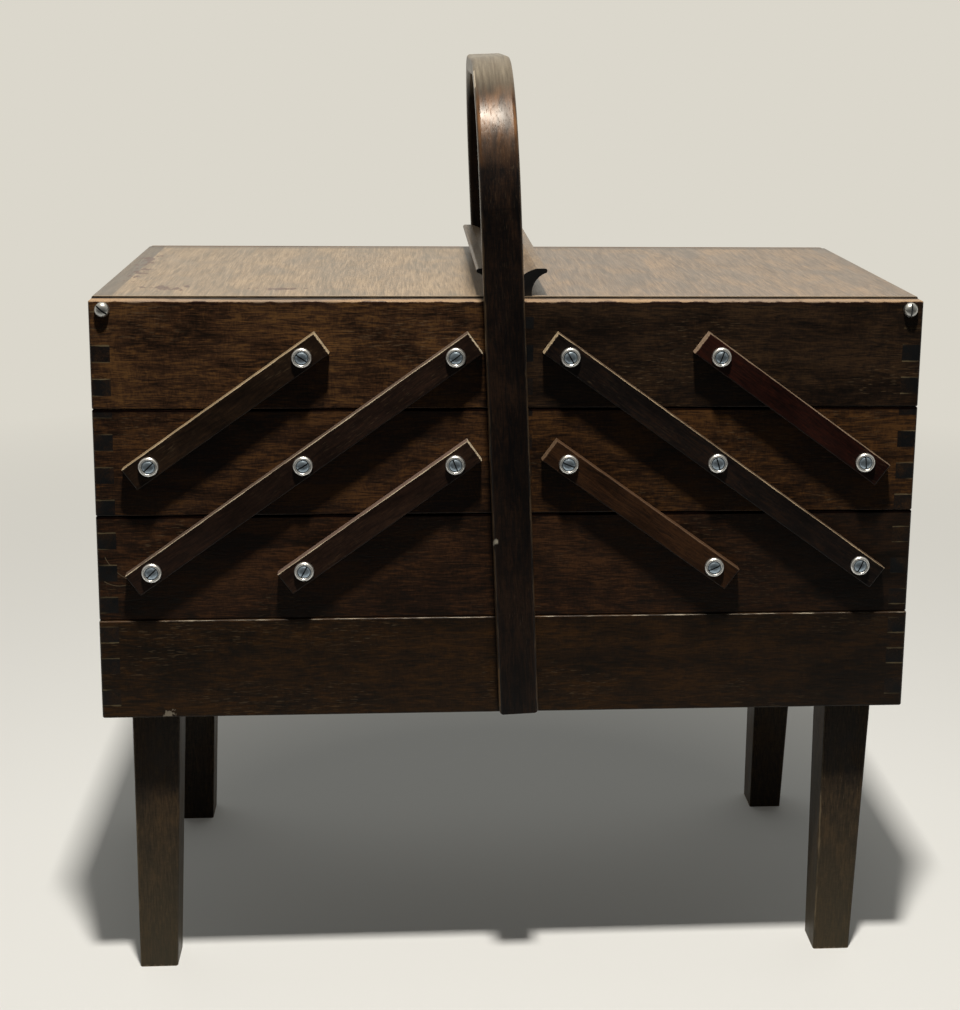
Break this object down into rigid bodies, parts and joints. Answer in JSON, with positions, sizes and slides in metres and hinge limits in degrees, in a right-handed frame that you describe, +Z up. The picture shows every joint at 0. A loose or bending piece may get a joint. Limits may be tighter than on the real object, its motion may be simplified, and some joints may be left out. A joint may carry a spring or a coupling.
{
  "type": "sewing carrier",
  "caption": "Cantilever sewing carrier in dark wood on legs: trays that swing out on bars, hinged lids with finger grips, and a bentwood carrying hoop.",
  "frame": {"origin": "middle of the box on the floor that its legs stand on", "axes": "+Z up, -Y towards the front, +X to the right seen from the front"},
  "size_m": [0.42, 0.2334, 0.4862],
  "materials": {
    "tray_board": "dark stained and varnished hardwood, satin",
    "end_board": "dark stained and varnished hardwood, satin",
    "plywood": "plain plywood, matt",
    "lid": "stained and varnished veneer, semi-gloss",
    "grip": "stained and varnished hardwood moulding, satin",
    "bar": "stained and varnished hardwood, satin",
    "hoop": "dark stained bentwood, semi-gloss",
    "leg": "dark stained hardwood, satin",
    "zinc": "bright zinc plate"
  },
  "bodies": {
    "base": {"base_front_board": "tray_board", "base_back_board": "tray_board", "base_left_end": "end_board", "base_right_end": "end_board", "base_floor": "plywood", "rim_front_board": "tray_board", "rim_back_board": "tray_board", "rim_left_end": "end_board", "rim_right_end": "end_board", "front_left_leg": "leg", "front_right_leg": "leg", "back_left_leg": "leg", "back_right_leg": "leg", "base_screws": "zinc", "base_pivot_fasteners": "zinc", "handle_hoop": "hoop"},
    "left_long_bars": {"left_front_long_bar": "bar", "left_back_long_bar": "bar"},
    "left_lower_bars": {"left_front_lower_bar": "bar", "left_back_lower_bar": "bar"},
    "left_upper_bars": {"left_front_upper_bar": "bar", "left_back_upper_bar": "bar"},
    "left_mid_tray": {"left_mid_tray_front_board": "tray_board", "left_mid_tray_back_board": "tray_board", "left_mid_tray_outer_end": "end_board", "left_mid_tray_inner_end": "end_board", "left_mid_tray_bottom": "plywood", "left_mid_pivot_fasteners": "zinc"},
    "left_top_tray": {"left_top_tray_front_board": "tray_board", "left_top_tray_back_board": "tray_board", "left_top_tray_outer_end": "end_board", "left_top_tray_inner_end": "end_board", "left_top_tray_bottom": "plywood", "left_top_pivot_fasteners": "zinc"},
    "left_lid": {"left_lid_panel": "lid", "left_lid_rail": "lid", "left_lid_grip": "grip", "left_lid_pivot_screws": "zinc"},
    "right_long_bars": {"right_front_long_bar": "bar", "right_back_long_bar": "bar"},
    "right_lower_bars": {"right_front_lower_bar": "bar", "right_back_lower_bar": "bar"},
    "right_upper_bars": {"right_front_upper_bar": "bar", "right_back_upper_bar": "bar"},
    "right_mid_tray": {"right_mid_tray_front_board": "tray_board", "right_mid_tray_back_board": "tray_board", "right_mid_tray_outer_end": "end_board", "right_mid_tray_inner_end": "end_board", "right_mid_tray_bottom": "plywood", "right_mid_pivot_fasteners": "zinc"},
    "right_top_tray": {"right_top_tray_front_board": "tray_board", "right_top_tray_back_board": "tray_board", "right_top_tray_outer_end": "end_board", "right_top_tray_inner_end": "end_board", "right_top_tray_bottom": "plywood", "right_top_pivot_fasteners": "zinc"},
    "right_lid": {"right_lid_panel": "lid", "right_lid_rail": "lid", "right_lid_grip": "grip", "right_lid_pivot_screws": "zinc"}
  },
  "joints": [
    {"name": "left_fold", "type": "hinge", "parent": "base", "child": "left_long_bars", "pos_m": [-0.18175, 0, 0.228], "axis": [0, -1, 0], "range_deg": [0, 108.2]},
    {"name": "left_lower_bars_pivot", "type": "hinge", "parent": "base", "child": "left_lower_bars", "pos_m": [-0.10525, 0, 0.228], "axis": [0, -1, 0], "range_deg": [0, 108.2]},
    {"name": "left_mid_tray_pivot", "type": "hinge", "parent": "left_long_bars", "child": "left_mid_tray", "pos_m": [-0.10525, 0, 0.2833], "axis": [0, -1, 0], "range_deg": [-108.2, 0]},
    {"name": "left_top_tray_pivot", "type": "hinge", "parent": "left_long_bars", "child": "left_top_tray", "pos_m": [-0.02875, 0, 0.3386], "axis": [0, -1, 0], "range_deg": [-108.2, 0]},
    {"name": "left_upper_bars_pivot", "type": "hinge", "parent": "left_mid_tray", "child": "left_upper_bars", "pos_m": [-0.18175, 0, 0.2833], "axis": [0, -1, 0], "range_deg": [0, 108.2]},
    {"name": "left_lid_hinge", "type": "hinge", "parent": "left_top_tray", "child": "left_lid", "pos_m": [-0.203, 0, 0.3618], "axis": [0, -1, 0], "range_deg": [0, 100]},
    {"name": "right_fold", "type": "hinge", "parent": "base", "child": "right_long_bars", "pos_m": [0.18175, 0, 0.228], "axis": [0, 1, 0], "range_deg": [0, 108.2]},
    {"name": "right_lower_bars_pivot", "type": "hinge", "parent": "base", "child": "right_lower_bars", "pos_m": [0.10525, 0, 0.228], "axis": [0, 1, 0], "range_deg": [0, 108.2]},
    {"name": "right_mid_tray_pivot", "type": "hinge", "parent": "right_long_bars", "child": "right_mid_tray", "pos_m": [0.10525, 0, 0.2833], "axis": [0, 1, 0], "range_deg": [-108.2, 0]},
    {"name": "right_top_tray_pivot", "type": "hinge", "parent": "right_long_bars", "child": "right_top_tray", "pos_m": [0.02875, 0, 0.3386], "axis": [0, 1, 0], "range_deg": [-108.2, 0]},
    {"name": "right_upper_bars_pivot", "type": "hinge", "parent": "right_mid_tray", "child": "right_upper_bars", "pos_m": [0.18175, 0, 0.2833], "axis": [0, 1, 0], "range_deg": [0, 108.2]},
    {"name": "right_lid_hinge", "type": "hinge", "parent": "right_top_tray", "child": "right_lid", "pos_m": [0.203, 0, 0.3618], "axis": [0, 1, 0], "range_deg": [0, 100]}
  ],
  "couplings": [
    {"joint": "left_lower_bars_pivot", "follows": "left_fold", "ratio": 1},
    {"joint": "left_mid_tray_pivot", "follows": "left_fold", "ratio": -1},
    {"joint": "left_top_tray_pivot", "follows": "left_fold", "ratio": -1},
    {"joint": "left_upper_bars_pivot", "follows": "left_fold", "ratio": 1},
    {"joint": "right_lower_bars_pivot", "follows": "right_fold", "ratio": 1},
    {"joint": "right_mid_tray_pivot", "follows": "right_fold", "ratio": -1},
    {"joint": "right_top_tray_pivot", "follows": "right_fold", "ratio": -1},
    {"joint": "right_upper_bars_pivot", "follows": "right_fold", "ratio": 1}
  ]
}
